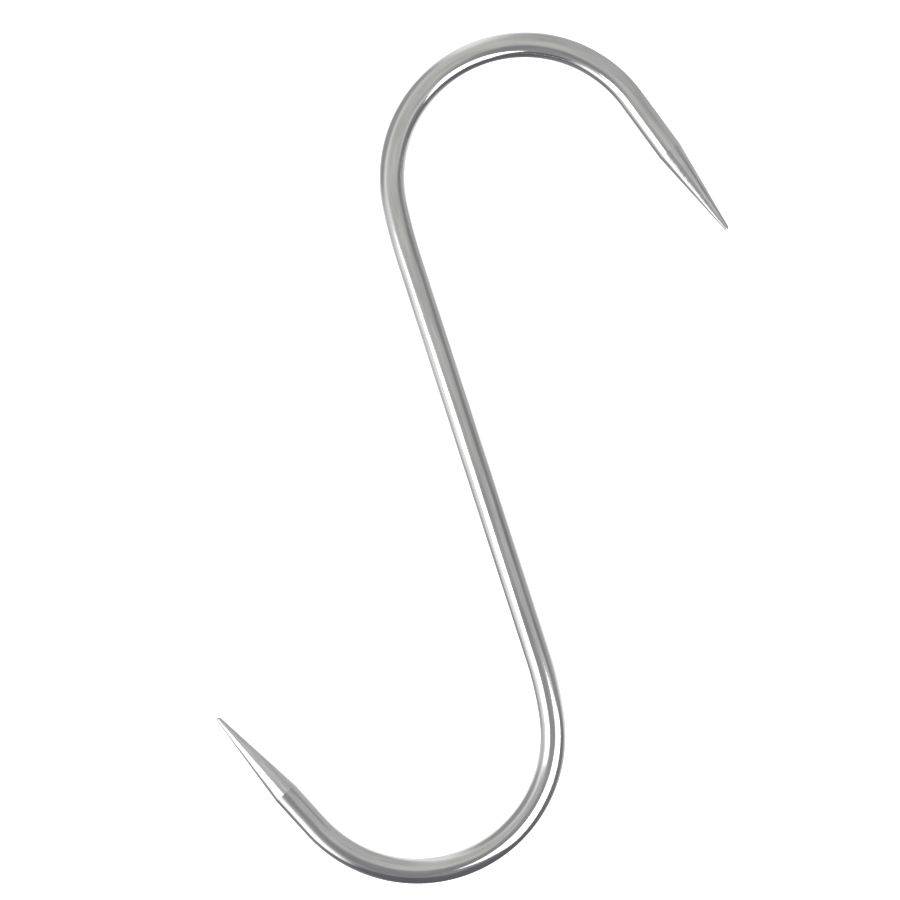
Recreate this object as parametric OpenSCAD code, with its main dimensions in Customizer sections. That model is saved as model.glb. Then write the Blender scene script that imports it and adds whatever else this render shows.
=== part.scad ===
// Butcher's S hook: one round stainless bar, bent the same way round at both
// ends and ground to a conical point at each.
//
// The bar is drawn in its shank frame, where the shank climbs along +Y from the
// lower bend to the upper one and the bar lies in the XY plane. hang() then
// stands it up as it hangs on a rail: the two crowns one above the other, the
// rail's seat at the origin, +Z up and the hook's plane in XZ.
//
// Every node is a length of that one bar, and meets the next face to face.

/* [Bar] */
// Diameter of the round bar
bar_d = 6; // [4:0.5:8]

/* [Shank] */
// Straight length between the two bends
shank_len = 98.9; // [60:0.1:160]

/* [Upper bend] */
// Centreline radius of the bend that hangs on the rail
upper_r = 31.3; // [20:0.1:45]
// Turn of that bend in degrees
upper_turn = 155.5; // [120:0.5:175]
// Centreline radius of the easy stretch between shank and bend
upper_lead_r = 124.4; // [60:0.1:200]
// Turn of the easy stretch in degrees
upper_lead_turn = 6.1; // [2:0.1:15]
// Straight length between bend and point
upper_arm_len = 15.2; // [4:0.1:30]

/* [Lower bend] */
// Centreline radius of the bend that carries the load
lower_r = 32.1; // [20:0.1:45]
// Turn of that bend in degrees
lower_turn = 145.5; // [120:0.5:175]
// Centreline radius of the easy stretch between shank and bend
lower_lead_r = 80; // [60:0.1:200]
// Turn of the easy stretch in degrees
lower_lead_turn = 10.2; // [2:0.1:15]
// Straight length between bend and point
lower_arm_len = 10.8; // [4:0.1:30]

/* [Points] */
// Length of the upper ground cone, from its shoulder to its tip
upper_point_len = 23; // [12:0.1:40]
// Length of the lower ground cone, from its shoulder to its tip
lower_point_len = 23.8; // [12:0.1:40]
// Diameter of the blunt, rounded tips
tip_d = 1.2; // [0.4:0.1:2]

/* [Hidden] */
$fn = 96;

bar_r = bar_d / 2;
tip_steps = 10;
polished = [0.80, 0.80, 0.79];
ground = [0.70, 0.70, 0.70];

// A heading is the angle of travel in the shank frame. Every bend turns right.
up = 90;
down = 270;
function ahead(heading) = [cos(heading), sin(heading)];
function bend_centre(start, heading, r) = start + r * ahead(heading - 90);
function bend_end(start, heading, r, turn) =
    bend_centre(start, heading, r) + r * ahead(heading + 90 - turn);

// Where each end's stretches start, walking away from the middle of the shank.
upper_foot = [0, shank_len / 2];
upper_bend_start = bend_end(upper_foot, up, upper_lead_r, upper_lead_turn);
upper_bend_heading = up - upper_lead_turn;
upper_centre = bend_centre(upper_bend_start, upper_bend_heading, upper_r);
upper_arm_start = bend_end(upper_bend_start, upper_bend_heading, upper_r, upper_turn);
upper_arm_heading = upper_bend_heading - upper_turn;

lower_foot = [0, -shank_len / 2];
lower_bend_start = bend_end(lower_foot, down, lower_lead_r, lower_lead_turn);
lower_bend_heading = down - lower_lead_turn;
lower_centre = bend_centre(lower_bend_start, lower_bend_heading, lower_r);
lower_arm_start = bend_end(lower_bend_start, lower_bend_heading, lower_r, lower_turn);
lower_arm_heading = lower_bend_heading - lower_turn;

// Hanging, the upper bend's centre is straight above the lower one's.
centre_line = upper_centre - lower_centre;
hang_turn = 90 - atan2(centre_line[1], centre_line[0]);
seat_above_centre = upper_r - bar_r;

// Stands what is drawn in the shank frame up, with the rail's seat at the origin.
module hang() {
    rotate([90, 0, 0])
        translate([0, -seat_above_centre, 0])
            rotate([0, 0, hang_turn])
                translate(-upper_centre)
                    children();
}

// Puts +Z along a heading, from a start point.
module along(start, heading) {
    translate(start) rotate([0, 0, heading]) rotate([0, 90, 0]) children();
}

// A straight length of bar.
module straight_bar(start, heading, length) {
    along(start, heading) cylinder(r = bar_r, h = length);
}

// A length of bar bent to a round arc.
module bent_bar(start, heading, r, turn) {
    translate(bend_centre(start, heading, r))
        rotate([0, 0, heading + 90 - turn])
            rotate_extrude(angle = turn)
                translate([r, 0]) circle(r = bar_r);
}

// A ground cone standing on its shoulder. Its side leans in by `lean`, and the
// round of the tip meets that side tangent.
module cone_point(length) {
    lean = atan((bar_r - tip_d / 2) / length);
    tip_r = tip_d / 2 / cos(lean);
    round_end = [for (i = [0:tip_steps])
        let (a = lean + (90 - lean) * i / tip_steps)
        [tip_r * cos(a), length - tip_r + tip_r * sin(a)]];
    rotate_extrude() polygon(concat([[0, 0], [bar_r, 0]], round_end));
}

module shank() {
    color(polished) hang() straight_bar(lower_foot, up, shank_len);
}

module upper_bend() {
    color(polished) hang() {
        bent_bar(upper_foot, up, upper_lead_r, upper_lead_turn);
        bent_bar(upper_bend_start, upper_bend_heading, upper_r, upper_turn);
    }
}

module upper_arm() {
    color(polished) hang() straight_bar(upper_arm_start, upper_arm_heading, upper_arm_len);
}

module upper_point() {
    shoulder = upper_arm_start + upper_arm_len * ahead(upper_arm_heading);
    color(ground) hang() along(shoulder, upper_arm_heading) cone_point(upper_point_len);
}

module lower_bend() {
    color(polished) hang() {
        bent_bar(lower_foot, down, lower_lead_r, lower_lead_turn);
        bent_bar(lower_bend_start, lower_bend_heading, lower_r, lower_turn);
    }
}

module lower_arm() {
    color(polished) hang() straight_bar(lower_arm_start, lower_arm_heading, lower_arm_len);
}

module lower_point() {
    shoulder = lower_arm_start + lower_arm_len * ahead(lower_arm_heading);
    color(ground) hang() along(shoulder, lower_arm_heading) cone_point(lower_point_len);
}

shank();
upper_bend();
upper_arm();
upper_point();
lower_bend();
lower_arm();
lower_point();
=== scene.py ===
"""A butcher's S hook: one polished stainless bar with a ground point at each end, hung
in front of a white sweep. Everything is in metres, in the row's frame: the rail's seat is
the origin, +Z is up, the hook lies in the XZ plane and the camera looks along +Y."""

import math

import bmesh
import bpy
from mathutils import Matrix, Vector


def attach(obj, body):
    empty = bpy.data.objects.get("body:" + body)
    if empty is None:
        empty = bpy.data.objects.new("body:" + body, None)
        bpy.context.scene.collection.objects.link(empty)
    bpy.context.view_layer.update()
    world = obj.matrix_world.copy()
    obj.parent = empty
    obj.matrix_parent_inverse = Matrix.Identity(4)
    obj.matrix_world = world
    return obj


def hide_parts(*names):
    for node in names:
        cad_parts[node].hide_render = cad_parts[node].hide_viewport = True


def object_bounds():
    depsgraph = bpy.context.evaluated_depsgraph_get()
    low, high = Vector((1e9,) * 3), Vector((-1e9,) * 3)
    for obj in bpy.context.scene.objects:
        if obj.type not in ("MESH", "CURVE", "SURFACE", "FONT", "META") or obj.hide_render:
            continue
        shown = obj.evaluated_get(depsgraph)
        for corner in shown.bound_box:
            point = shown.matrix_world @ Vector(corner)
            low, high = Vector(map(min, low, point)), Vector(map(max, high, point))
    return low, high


MM = 0.001

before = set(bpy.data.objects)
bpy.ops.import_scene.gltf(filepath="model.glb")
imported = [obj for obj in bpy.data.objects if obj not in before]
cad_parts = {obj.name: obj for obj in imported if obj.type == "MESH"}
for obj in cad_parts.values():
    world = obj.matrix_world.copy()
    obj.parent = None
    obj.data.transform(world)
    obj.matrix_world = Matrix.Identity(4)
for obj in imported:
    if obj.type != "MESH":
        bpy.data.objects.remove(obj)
cad_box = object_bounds()
BODY = "root"


# ---------------------------------------------------------------- the bar's line
# The same lengths, radii and turns as the CAD part, walked from the shank's middle.

BAR_R = 3.0 * MM
HALF_SHANK = 49.45 * MM
TIP_R = 0.6 * MM
UPPER = {
    "lead_r": 124.4 * MM, "lead_turn": math.radians(6.1),
    "r": 31.3 * MM, "turn": math.radians(155.5),
    "arm": 15.2 * MM, "point": 23.0 * MM, "heading": math.radians(90),
}
LOWER = {
    "lead_r": 80 * MM, "lead_turn": math.radians(10.2),
    "r": 32.1 * MM, "turn": math.radians(145.5),
    "arm": 10.8 * MM, "point": 23.8 * MM, "heading": math.radians(270),
}


def ahead(heading):
    return Vector((math.cos(heading), math.sin(heading)))


def stretches(end):
    """(length, bend radius or None) from the shank's middle out to the point's shoulder."""
    return [
        (HALF_SHANK, None),
        (end["lead_r"] * end["lead_turn"], end["lead_r"]),
        (end["r"] * end["turn"], end["r"]),
        (end["arm"], None),
    ]


def shoulder(end):
    """Distance along the bar from the shank's middle to the point's shoulder."""
    return sum(length for length, _ in stretches(end))


def walk(end, distance):
    """Place and outward heading at that distance from the shank's middle."""
    place, heading, left = Vector((0, 0)), end["heading"], distance
    for length, r in stretches(end) + [(end["point"], None)]:
        step = min(left, length)
        if r is None:
            place = place + step * ahead(heading)
        else:
            centre = place + r * ahead(heading - math.pi / 2)
            heading -= step / r
            place = centre + r * ahead(heading + math.pi / 2)
        left -= step
        if left <= 0:
            break
    return place, heading


def bend_centre(end):
    """Centre of the main bend."""
    start = HALF_SHANK + end["lead_r"] * end["lead_turn"]
    place, heading = walk(end, start)
    return place + end["r"] * ahead(heading - math.pi / 2)


CENTRE_LINE = bend_centre(UPPER) - bend_centre(LOWER)
HANG_TURN = math.pi / 2 - math.atan2(CENTRE_LINE.y, CENTRE_LINE.x)
SEAT = bend_centre(UPPER)
SEAT_RISE = UPPER["r"] - BAR_R


def hung(place):
    """A place on the flat drawing, stood up as the hook hangs."""
    turned = Matrix.Rotation(HANG_TURN, 2) @ (place - SEAT)
    return Vector((turned.x, 0, turned.y - SEAT_RISE))


def station(distance):
    """Place on the hung hook, and the direction square to the bar in the hook's plane.
    Distance grows from the lower point, through 0 at the shank's middle, to the upper."""
    end, out = (UPPER, 1) if distance >= 0 else (LOWER, -1)
    place, heading = walk(end, abs(distance))
    travel = Matrix.Rotation(HANG_TURN, 2) @ (out * ahead(heading))
    return hung(place), Vector((-travel.y, 0, travel.x))


# ---------------------------------------------------------------- mesh

AROUND = 96
ACROSS = Vector((0, 1, 0))
BAR_STEP = 0.5 * MM
POINT_STEP = 0.4 * MM
FINE_STEP, FINE_REACH = 0.05 * MM, 1.5 * MM
TIP_RINGS, TIP_GAP = 10, 0.002 * MM


def tube_faces(rows):
    """The faces between that many rings."""
    return [
        (
            i * AROUND + k,
            i * AROUND + (k + 1) % AROUND,
            (i + 1) * AROUND + (k + 1) % AROUND,
            (i + 1) * AROUND + k,
        )
        for i in range(rows - 1)
        for k in range(AROUND)
    ]


def cap_faces(row, hub, order):
    """A fan from the hub vertex to that ring. Order 1 or -1 turns it to face outwards."""
    start = row * AROUND
    fan = [(hub, start + k, start + (k + 1) % AROUND) for k in range(AROUND)]
    return [face[::order] for face in fan]


def sweep(name, stops, radius):
    """A closed tube along the bar's line. `stops` are distances, and `radius(distance)` is
    its radius there. The grain attribute is where each vertex would be if the bar were
    straight, so that lines in the finish follow the bar round its bends."""
    verts, grain = [], []
    for d in stops:
        place, side = station(d)
        r = radius(d)
        for k in range(AROUND):
            a = 2 * math.pi * k / AROUND
            verts.append(place + r * (math.cos(a) * side + math.sin(a) * ACROSS))
            grain.append((r * math.cos(a), r * math.sin(a), d))
    last = len(stops) - 1
    faces = tube_faces(len(stops))
    for row, order in ((0, -1), (last, 1)):
        faces += cap_faces(row, len(verts), order)
        verts.append(station(stops[row])[0])
        grain.append((0, 0, stops[row]))
    mesh = bpy.data.meshes.new(name)
    mesh.from_pydata(verts, [], faces)
    layer = mesh.attributes.new("grain", "FLOAT_VECTOR", "POINT")
    layer.data.foreach_set("vector", [c for g in grain for c in g])
    for polygon in mesh.polygons:
        polygon.use_smooth = True
    for edge in mesh.edges:
        edge.use_edge_sharp = all(v // AROUND in (0, last) for v in edge.vertices)
    piece = bpy.data.objects.new(name, mesh)
    bpy.context.scene.collection.objects.link(piece)
    return piece


def steps(start, stop, size):
    """Evenly spaced distances from start to stop, about `size` apart."""
    count = max(1, round(abs(stop - start) / size))
    return [start + (stop - start) * i / count for i in range(count + 1)]


def cone_radius(t, length):
    """Radius of a ground cone t from its shoulder, with its tip rounded off."""
    lean = math.atan((BAR_R - TIP_R) / length)
    ball = TIP_R / math.cos(lean)
    meet = length - ball + ball * math.sin(lean)
    if t < meet:
        return BAR_R - (BAR_R - ball * math.cos(lean)) * t / meet
    return math.sqrt(max(ball**2 - (t - length + ball) ** 2, 0))


def point_stops(length):
    """Distances from the shoulder, closest together at the shoulder and the tip. They end
    just short of the tip, so that the last ring still has a radius and its cap an area."""
    tip_start = length - TIP_R
    fine = steps(0, FINE_REACH, FINE_STEP)
    body = steps(FINE_REACH, tip_start, POINT_STEP)[1:]
    turns = [math.pi / 2 * i / TIP_RINGS for i in range(1, TIP_RINGS + 1)]
    return fine + body + [tip_start + (TIP_R - TIP_GAP) * math.sin(turn) for turn in turns]


bar = sweep("bar", steps(-shoulder(LOWER), shoulder(UPPER), BAR_STEP), lambda d: BAR_R)
upper_tip = sweep(
    "upper_ground_point",
    [shoulder(UPPER) + t for t in point_stops(UPPER["point"])],
    lambda d: cone_radius(d - shoulder(UPPER), UPPER["point"]),
)
lower_tip = sweep(
    "lower_ground_point",
    [-shoulder(LOWER) - t for t in reversed(point_stops(LOWER["point"]))],
    lambda d: cone_radius(-d - shoulder(LOWER), LOWER["point"]),
)


# ---------------------------------------------------------------- materials

DRAWN_DULL, DRAWN_BRIGHT = (0.64, 0.64, 0.64), (0.77, 0.77, 0.765)
GROUND_DULL, GROUND_BRIGHT = (0.72, 0.72, 0.72), (0.84, 0.84, 0.835)


class Nodes:
    """Short calls for a material's nodes."""

    def __init__(self, tree):
        self.tree = tree

    def add(self, kind, **settings):
        node = self.tree.nodes.new("ShaderNode" + kind)
        for key, value in settings.items():
            setattr(node, key, value)
        return node

    def link(self, out, into):
        self.tree.links.new(out, into)

    def noise(self, vector, stretch, detail=3.0, roughness=0.55):
        """Noise that repeats about `stretch` times a metre along each axis."""
        scaled = self.add("VectorMath", operation="MULTIPLY")
        self.link(vector, scaled.inputs[0])
        scaled.inputs[1].default_value = stretch
        node = self.add("TexNoise")
        self.link(scaled.outputs[0], node.inputs["Vector"])
        node.inputs["Scale"].default_value = 1
        node.inputs["Detail"].default_value = detail
        node.inputs["Roughness"].default_value = roughness
        return node.outputs["Fac"]

    def remap(self, value, low, high, to_low, to_high):
        """Low to high becomes to_low to to_high, eased at both ends and held past them."""
        node = self.add("MapRange", interpolation_type="SMOOTHSTEP")
        self.link(value, node.inputs["Value"])
        for key, number in (
            ("From Min", low), ("From Max", high), ("To Min", to_low), ("To Max", to_high),
        ):
            node.inputs[key].default_value = number
        return node.outputs["Result"]

    def maths(self, operation, a, b=0):
        node = self.add("Math", operation=operation)
        for socket, value in zip(node.inputs, (a, b)):
            if isinstance(value, (int, float)):
                socket.default_value = value
            else:
                self.link(value, socket)
        return node.outputs[0]

    def mix(self, factor, a, b):
        """Colour a where the factor is 0 and colour b where it is 1."""
        node = self.add("Mix", data_type="RGBA")
        self.link(factor, node.inputs["Factor"])
        colour_a, colour_b = node.inputs[6:8]
        for socket, value in ((colour_a, a), (colour_b, b)):
            if isinstance(value, tuple):
                socket.default_value = (*value, 1)
            else:
                self.link(value, socket)
        return node.outputs[2]

    def bump(self, height, depth, under=None):
        """A relief `depth` metres deep over another bump's normal."""
        node = self.add("Bump")
        node.inputs["Strength"].default_value = 1
        node.inputs["Distance"].default_value = depth
        self.link(height, node.inputs["Height"])
        if under is not None:
            self.link(under, node.inputs["Normal"])
        return node.outputs["Normal"]


def new_steel(name):
    """A metal's nodes, its shader and the grain attribute that its lines follow."""
    mat = bpy.data.materials.new(name)
    mat.use_nodes = True
    nodes = Nodes(mat.node_tree)
    shader = mat.node_tree.nodes["Principled BSDF"]
    shader.inputs["Metallic"].default_value = 1
    grain = nodes.add("Attribute", attribute_name="grain").outputs["Vector"]
    return mat, nodes, shader, grain


def polished_steel():
    """Drawn bar, polished: streaks and finer hairs that run along it, and the slow waves and
    clouds that a polishing wheel leaves."""
    mat, nodes, shader, grain = new_steel("polished_steel")
    streaks = nodes.noise(grain, (700, 700, 60), detail=5)
    hairs = nodes.noise(grain, (6500, 6500, 130), detail=2)
    clouds = nodes.noise(grain, (240, 240, 90), detail=2)
    waves = nodes.noise(grain, (330, 330, 75), detail=1)
    tint = nodes.mix(nodes.remap(streaks, 0.38, 0.62, 0, 1), DRAWN_DULL, DRAWN_BRIGHT)
    nodes.link(tint, shader.inputs["Base Color"])
    gloss = nodes.remap(hairs, 0.3, 0.7, 0.07, 0.13)
    gloss = nodes.maths("ADD", gloss, nodes.remap(clouds, 0.3, 0.7, 0, 0.04))
    nodes.link(gloss, shader.inputs["Roughness"])
    relief = nodes.bump(waves, 0.016 * MM)
    relief = nodes.bump(streaks, 0.008 * MM, relief)
    relief = nodes.bump(hairs, 0.0005 * MM, relief)
    nodes.link(relief, shader.inputs["Normal"])
    return mat


def ground_steel():
    """A point turned against a stone: fine rings round it, and longer pulls towards the tip."""
    mat, nodes, shader, grain = new_steel("ground_steel")
    rings = nodes.noise(grain, (180, 180, 2600), detail=3)
    pulls = nodes.noise(grain, (1500, 1500, 120), detail=3)
    tint = nodes.mix(nodes.remap(pulls, 0.38, 0.62, 0, 1), GROUND_DULL, GROUND_BRIGHT)
    nodes.link(tint, shader.inputs["Base Color"])
    nodes.link(nodes.remap(rings, 0.3, 0.7, 0.14, 0.26), shader.inputs["Roughness"])
    relief = nodes.bump(rings, 0.0012 * MM)
    relief = nodes.bump(pulls, 0.003 * MM, relief)
    nodes.link(relief, shader.inputs["Normal"])
    return mat


bar.data.materials.append(polished_steel())
ground = ground_steel()
for tip in (upper_tip, lower_tip):
    tip.data.materials.append(ground)

for piece in (bar, upper_tip, lower_tip):
    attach(piece, BODY)
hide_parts("shank", "upper_bend", "upper_arm", "lower_bend", "lower_arm")
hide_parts("upper_point")
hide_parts("lower_point")


# ---------------------------------------------------------------- camera

# The camera leans to one side, so that the hanging hook is seen aslant. The width of its
# view is measured in the hook's plane.

LEAN = math.radians(10.93)
LENS, SENSOR = 170, 36
VIEW_WIDTH = 212.3 * MM
RIGHT = Vector((math.cos(LEAN), 0, math.sin(LEAN)))
UP = Vector((-math.sin(LEAN), 0, math.cos(LEAN)))
NEAR = Vector((0, -1, 0))
MIDDLE = Vector((-5.1 * MM, 0, -94.75 * MM))


def view_turn(right, up, near):
    """A direction given by its shares right, up and towards the camera."""
    return right * RIGHT + up * UP + near * NEAR


camera = bpy.data.objects.new("camera", bpy.data.cameras.new("camera"))
bpy.context.scene.collection.objects.link(camera)
camera.data.lens, camera.data.sensor_width = LENS, SENSOR
camera_place = MIDDLE + VIEW_WIDTH * LENS / SENSOR * NEAR
axes = Matrix((RIGHT, UP, NEAR)).transposed().to_4x4()
camera.matrix_world = Matrix.Translation(camera_place) @ axes
camera.data.clip_end = 20
bpy.context.scene.camera = camera


# ---------------------------------------------------------------- studio


def soft_box(name, centre, width, height, glow):
    """A flat light that faces the middle of the view. Its centre is in millimetres right, up
    and nearer than that middle. The camera doesn't see it."""
    place = MIDDLE + view_turn(*centre) * MM
    data = bpy.data.lights.new(name, "AREA")
    data.shape, data.size, data.size_y = "RECTANGLE", width * MM, height * MM
    data.energy = glow * math.pi * data.size * data.size_y
    box = bpy.data.objects.new(name, data)
    bpy.context.scene.collection.objects.link(box)
    facing = (MIDDLE - place).to_track_quat("-Z", "Y").to_matrix().to_4x4()
    box.matrix_world = Matrix.Translation(place) @ facing
    box.visible_camera = False


soft_box("left_box", (-280, -110, 250), 260, 150, 2.5)
soft_box("right_box", (110, -115, 100), 135, 180, 2.5)

# What the steel mirrors besides the two boxes: cards and a window in a white tent, seen from
# the middle of the view. Each entry is where one is, in degrees turned from the view's right
# and degrees away from the camera; how far it reaches at its full tone, and how much further
# it fades, in degrees; and its tone. Later entries are in front of earlier ones.
TENT_R = 700 * MM
TENT_WHITE = (1.0, 1.0, 1.0)
CARDS = (
    ("camera side", 0, 0, 30, 30, (0.55, 0.55, 0.55)),
    ("above", 100, 35, 20, 45, (0.60, 0.60, 0.58)),
    ("upper right", 45, 85, 40, 25, (0.50, 0.50, 0.50)),
    ("left card", 150, 100, 20, 25, (0.38, 0.38, 0.38)),
    ("right card", 20, 70, 10, 15, (0.28, 0.28, 0.28)),
    ("lower right card", -30, 85, 25, 20, (0.25, 0.25, 0.25)),
    ("below", -85, 105, 35, 40, (0.15, 0.15, 0.17)),
    ("below, near", -90, 32, 20, 20, (0.32, 0.32, 0.33)),
    ("far left, low", -165, 120, 10, 15, (0.65, 0.65, 0.65)),
    ("lower left", -130, 130, 15, 20, (0.30, 0.30, 0.30)),
    ("lower left window", -135, 78, 10, 15, (1.8, 1.8, 1.8)),
)


def tent_tones():
    """The tent's glow: its white, with each card laid over what came before it."""
    mat = bpy.data.materials.new("tent_tones")
    mat.use_nodes = True
    mat.node_tree.nodes.clear()
    nodes = Nodes(mat.node_tree)
    outward = nodes.add("VectorMath", operation="NORMALIZE")
    nodes.link(nodes.add("TexCoord").outputs["Object"], outward.inputs[0])
    tone = TENT_WHITE
    for _, turned, away, reach, fade, colour in CARDS:
        turned, away = math.radians(turned), math.radians(away)
        dot = nodes.add("VectorMath", operation="DOT_PRODUCT")
        nodes.link(outward.outputs[0], dot.inputs[0])
        dot.inputs[1].default_value = view_turn(
            math.sin(away) * math.cos(turned), math.sin(away) * math.sin(turned), math.cos(away)
        )
        angle = nodes.maths("ARCCOSINE", dot.outputs["Value"])
        share = nodes.remap(angle, math.radians(reach), math.radians(reach + fade), 1, 0)
        tone = nodes.mix(share, tone, colour)
    glow = nodes.add("Emission")
    nodes.link(tone, glow.inputs["Color"])
    nodes.link(glow.outputs[0], nodes.add("OutputMaterial").inputs["Surface"])
    mat.cycles.emission_sampling = "NONE"
    return mat


def light_tent():
    """A round light tent about the hook, which only the steel sees, as its reflections."""
    form = bmesh.new()
    bmesh.ops.create_icosphere(form, subdivisions=5, radius=TENT_R)
    mesh = bpy.data.meshes.new("light_tent")
    form.to_mesh(mesh)
    form.free()
    mesh.materials.append(tent_tones())
    tent = bpy.data.objects.new("light_tent", mesh)
    tent.location = MIDDLE
    bpy.context.scene.collection.objects.link(tent)
    tent.visible_camera = tent.visible_diffuse = tent.visible_shadow = False


light_tent()

# The world's white lights the sweep. The tent hides it from the steel.
world = bpy.data.worlds.new("studio")
world.use_nodes = True
world.node_tree.nodes["Background"].inputs["Color"].default_value = (1, 1, 1, 1)
bpy.context.scene.world = world

FLOOR = cad_box[0][2] - 60 * MM
ROOM_R, FLAT_R, CEILING = 2.5, 1.5, 3.0
WALL_RINGS, ROOM_AROUND = 24, 64


def room_profile():
    """Radius and height of each ring, from the floor's middle up to the ceiling's: a flat
    floor and a flat ceiling, joined by a wall that is half an ellipse."""
    profile = [(0, FLOOR), (FLAT_R, FLOOR)]
    for i in range(1, WALL_RINGS + 1):
        turn = math.pi * i / WALL_RINGS
        out = FLAT_R + (ROOM_R - FLAT_R) * math.sin(turn)
        profile.append((out, FLOOR + CEILING * (1 - math.cos(turn)) / 2))
    return profile + [(0, FLOOR + CEILING)]


def white_sweep():
    """The sweep's matt white, with a glow of its own that leaves no shading on it."""
    mat = bpy.data.materials.new("white_sweep")
    mat.use_nodes = True
    shader = mat.node_tree.nodes["Principled BSDF"]
    shader.inputs["Base Color"].default_value = (0.9, 0.9, 0.9, 1)
    shader.inputs["Roughness"].default_value = 0.9
    shader.inputs["Emission Color"].default_value = (1, 1, 1, 1)
    shader.inputs["Emission Strength"].default_value = 0.7
    return mat


def sweep_room():
    """A round white room with no edges, which only the camera sees."""
    profile = room_profile()
    verts = []
    for out, height in profile:
        for k in range(ROOM_AROUND):
            a = 2 * math.pi * k / ROOM_AROUND
            verts.append((out * math.cos(a), out * math.sin(a), height))
    faces = []
    for low in range(0, (len(profile) - 1) * ROOM_AROUND, ROOM_AROUND):
        high = low + ROOM_AROUND
        for k in range(ROOM_AROUND):
            n = (k + 1) % ROOM_AROUND
            faces.append((low + k, high + k, high + n, low + n))
    mesh = bpy.data.meshes.new("sweep_room")
    mesh.from_pydata(verts, [], faces)
    for polygon in mesh.polygons:
        polygon.use_smooth = True
    mesh.materials.append(white_sweep())
    room = bpy.data.objects.new("sweep_room", mesh)
    bpy.context.scene.collection.objects.link(room)
    room.visible_glossy = room.visible_shadow = room.visible_diffuse = False


sweep_room()
bpy.context.scene.view_settings.view_transform = "Standard"
